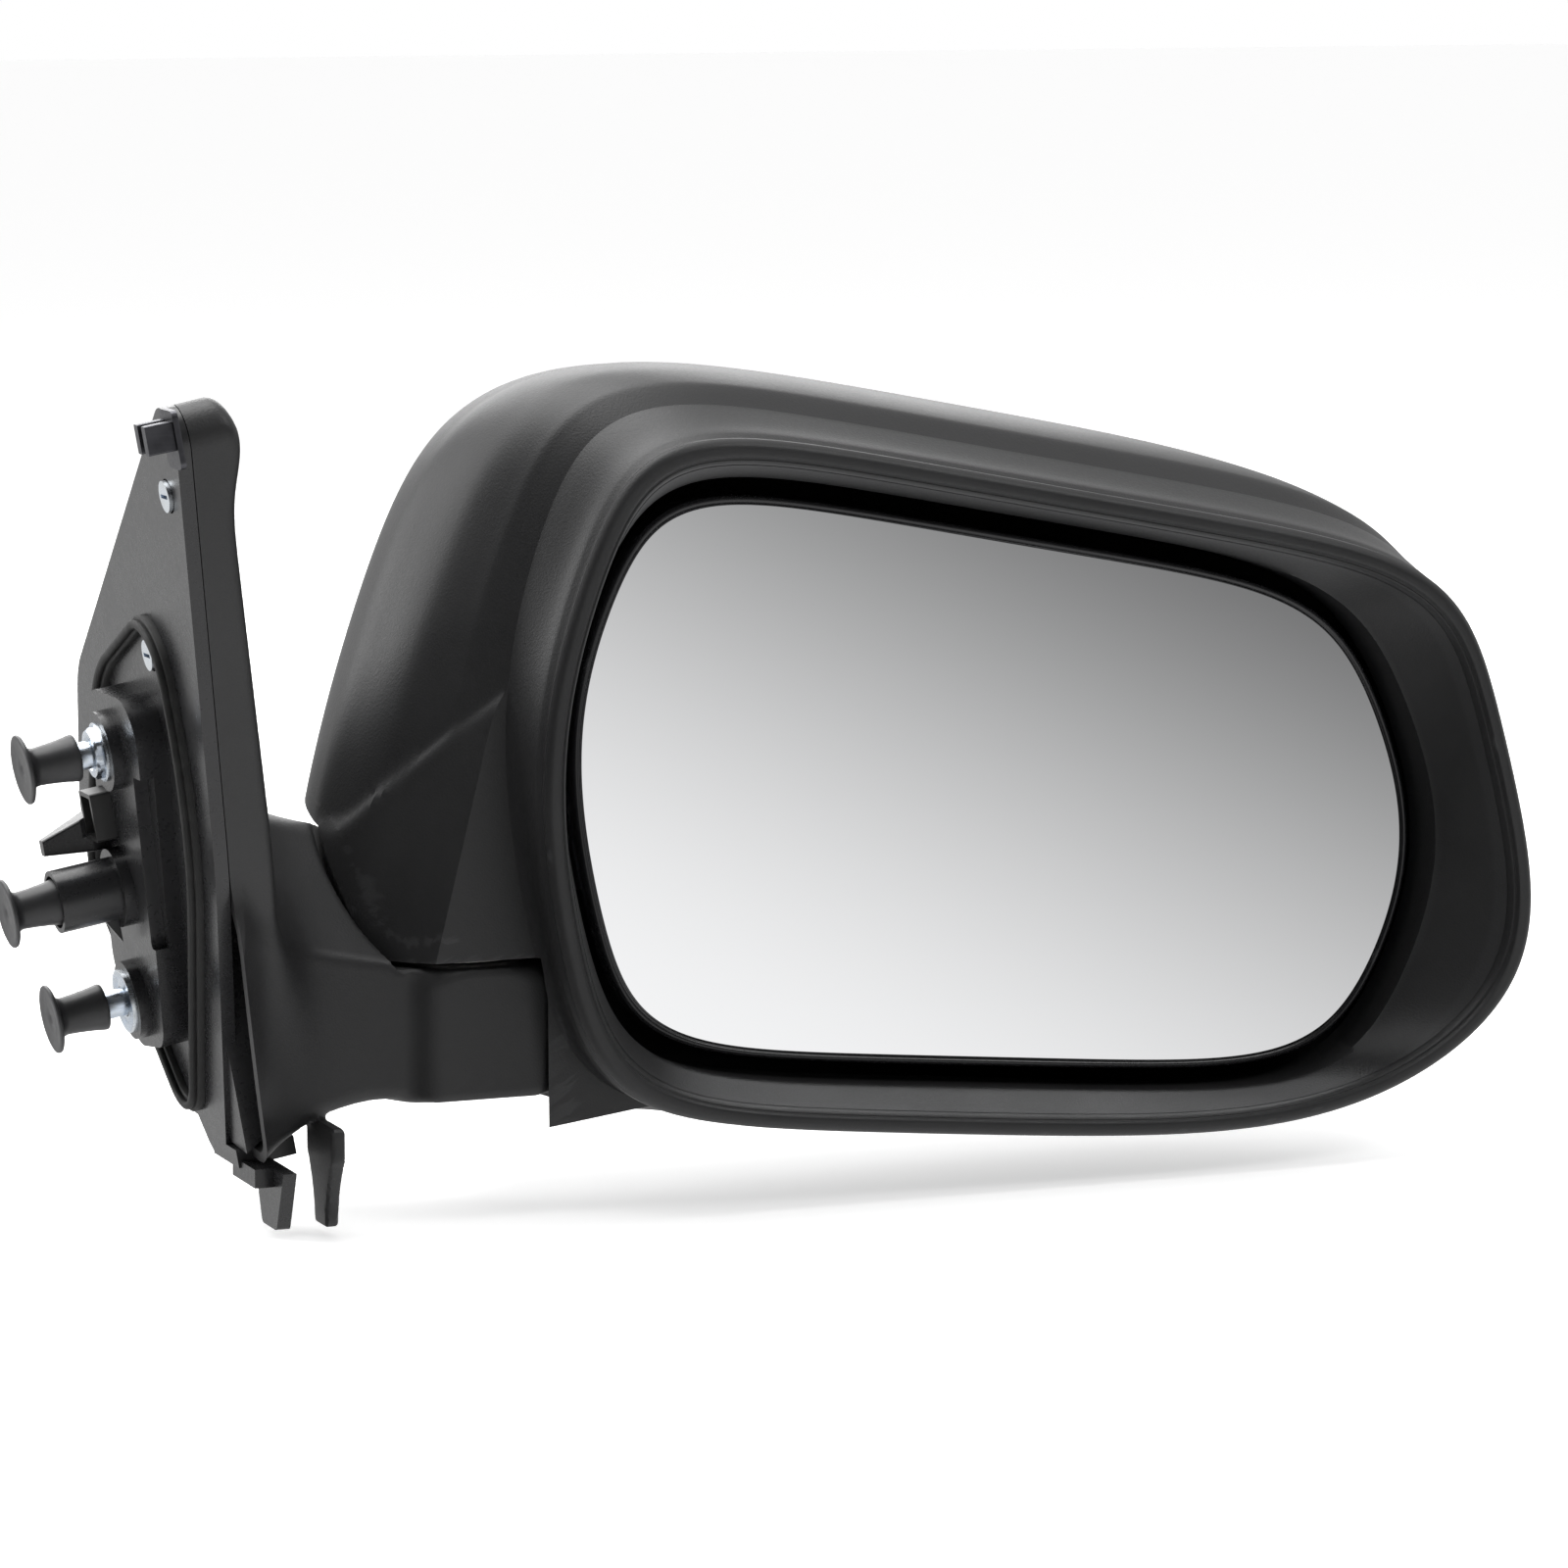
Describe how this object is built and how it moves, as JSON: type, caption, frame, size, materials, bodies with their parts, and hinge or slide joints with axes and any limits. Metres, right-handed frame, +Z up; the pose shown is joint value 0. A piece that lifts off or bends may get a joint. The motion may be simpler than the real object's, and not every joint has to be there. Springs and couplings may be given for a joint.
{
  "type": "car side mirror",
  "caption": "Right-hand powered door mirror on a leaned sail base; textured head folds on the arm, convex glass tilts two ways, capped studs bolt it to a door",
  "frame": {"origin": "centroid of the three mounting studs on the seat plane of the base bosses", "axes": "+X outboard along the car width, +Y forward, +Z up; the door face leans 10 degrees inboard at the top"},
  "size_m": [0.3409, 0.1374, 0.1791],
  "materials": {
    "textured_plastic": "fine-grain moulded black, charcoal where lit",
    "bracket_plastic": "smooth satin black",
    "gasket_rubber": "black, slight sheen",
    "zinc_steel": "bright zinc plate, faint blue",
    "cap_plastic": "satin charcoal moulding",
    "connector_plastic": "black",
    "pin_brass": "tin-flashed brass",
    "wire_sleeve": "black sleeving",
    "clip_steel": "spring steel",
    "post_steel": "machined steel",
    "glide_nylon": "natural nylon",
    "cast_alloy": "die-cast, matt",
    "bush_bronze": "sintered bronze",
    "case_plastic": "black moulding",
    "motor_steel": "plated can",
    "gear_nylon": "white acetal",
    "mirror_silver": "silvered convex glass",
    "pad_foam": "black adhesive pad",
    "carrier_plastic": "black, slight gloss"
  },
  "bodies": {
    "base": {"base_bracket": "bracket_plastic", "base_cover": "textured_plastic", "door_gasket": "gasket_rubber", "mounting_studs": "zinc_steel", "stud_collars": "zinc_steel", "connector_shell": "connector_plastic", "connector_pins": "pin_brass", "base_harness": "wire_sleeve", "sail_clip": "clip_steel", "cover_screws": "zinc_steel", "bottom_plug": "bracket_plastic", "pivot_post": "post_steel", "post_screws": "zinc_steel", "glide_washer": "glide_nylon", "spring_washer": "post_steel", "pivot_spring": "clip_steel", "spring_cap": "post_steel", "retaining_ring": "clip_steel"},
    "head": {"head_shell": "textured_plastic", "head_bracket": "cast_alloy", "pivot_bushing": "bush_bronze", "bracket_screws": "zinc_steel", "actuator_front": "case_plastic", "actuator_rear": "case_plastic", "actuator_screws": "zinc_steel", "motor_vertical": "motor_steel", "motor_horizontal": "motor_steel", "head_harness": "wire_sleeve"},
    "gimbal": {"gimbal_cross": "post_steel"},
    "glass": {"mirror_glass": "mirror_silver", "glass_pad": "pad_foam", "glass_carrier": "carrier_plastic"},
    "jack_vertical": {"jack_screw_vertical": "gear_nylon"},
    "jack_horizontal": {"jack_screw_horizontal": "gear_nylon"},
    "wheel_vertical": {"drive_wheel_vertical": "gear_nylon"},
    "wheel_horizontal": {"drive_wheel_horizontal": "gear_nylon"},
    "screw_vertical": {"worm_vertical": "gear_nylon"},
    "screw_horizontal": {"worm_horizontal": "gear_nylon"},
    "cap_top": {"stud_cap_top": "cap_plastic"},
    "cap_middle": {"stud_cap_middle": "cap_plastic"},
    "cap_bottom": {"stud_cap_bottom": "cap_plastic"}
  },
  "joints": [
    {"name": "head_fold", "type": "hinge", "parent": "base", "child": "head", "pos_m": [0.0725, -0.013, 0], "axis": [0, 0, 1], "range_deg": [-60, 30]},
    {"name": "tilt_vertical", "type": "hinge", "parent": "head", "child": "gimbal", "pos_m": [0.19, -0.021, 0.015], "axis": [1, 0, 0], "range_deg": [-8, 8]},
    {"name": "tilt_horizontal", "type": "hinge", "parent": "gimbal", "child": "glass", "pos_m": [0.19, -0.021, 0.015], "axis": [0, 0, 1], "range_deg": [-8, 8]},
    {"name": "jack_slide_vertical", "type": "slide", "parent": "head", "child": "jack_vertical", "axis": [0, 1, 0], "range_m": [-0.0042, 0.0042]},
    {"name": "jack_slide_horizontal", "type": "slide", "parent": "head", "child": "jack_horizontal", "axis": [0, 1, 0], "range_m": [-0.0042, 0.0042]},
    {"name": "wheel_spin_vertical", "type": "hinge", "parent": "head", "child": "wheel_vertical", "pos_m": [0.19, 0, 0.043], "axis": [0, 1, 0], "range_deg": [-240, 240]},
    {"name": "wheel_spin_horizontal", "type": "hinge", "parent": "head", "child": "wheel_horizontal", "pos_m": [0.218, 0, 0.015], "axis": [0, 1, 0], "range_deg": [-240, 240]},
    {"name": "worm_spin_vertical", "type": "hinge", "parent": "head", "child": "screw_vertical", "pos_m": [0.1732, -0.001, 0.043], "axis": [0, 0, 1], "range_deg": [-3120, 3120]},
    {"name": "worm_spin_horizontal", "type": "hinge", "parent": "head", "child": "screw_horizontal", "pos_m": [0.2012, -0.001, 0.015], "axis": [0, 0, 1], "range_deg": [-3120, 3120]},
    {"name": "cap_pull_top", "type": "slide", "parent": "base", "child": "cap_top", "axis": [-0.9848, 0, -0.1736], "range_m": [0, 0.03]},
    {"name": "cap_pull_middle", "type": "slide", "parent": "base", "child": "cap_middle", "axis": [-0.9848, 0, -0.1736], "range_m": [0, 0.03]},
    {"name": "cap_pull_bottom", "type": "slide", "parent": "base", "child": "cap_bottom", "axis": [-0.9848, 0, -0.1736], "range_m": [0, 0.03]}
  ],
  "couplings": [
    {"joint": "jack_slide_vertical", "follows": "tilt_vertical", "m_per_rad": -0.028},
    {"joint": "jack_slide_horizontal", "follows": "tilt_horizontal", "m_per_rad": 0.028},
    {"joint": "wheel_spin_vertical", "follows": "tilt_vertical", "ratio": 29.322},
    {"joint": "wheel_spin_horizontal", "follows": "tilt_horizontal", "ratio": -29.322}
  ]
}
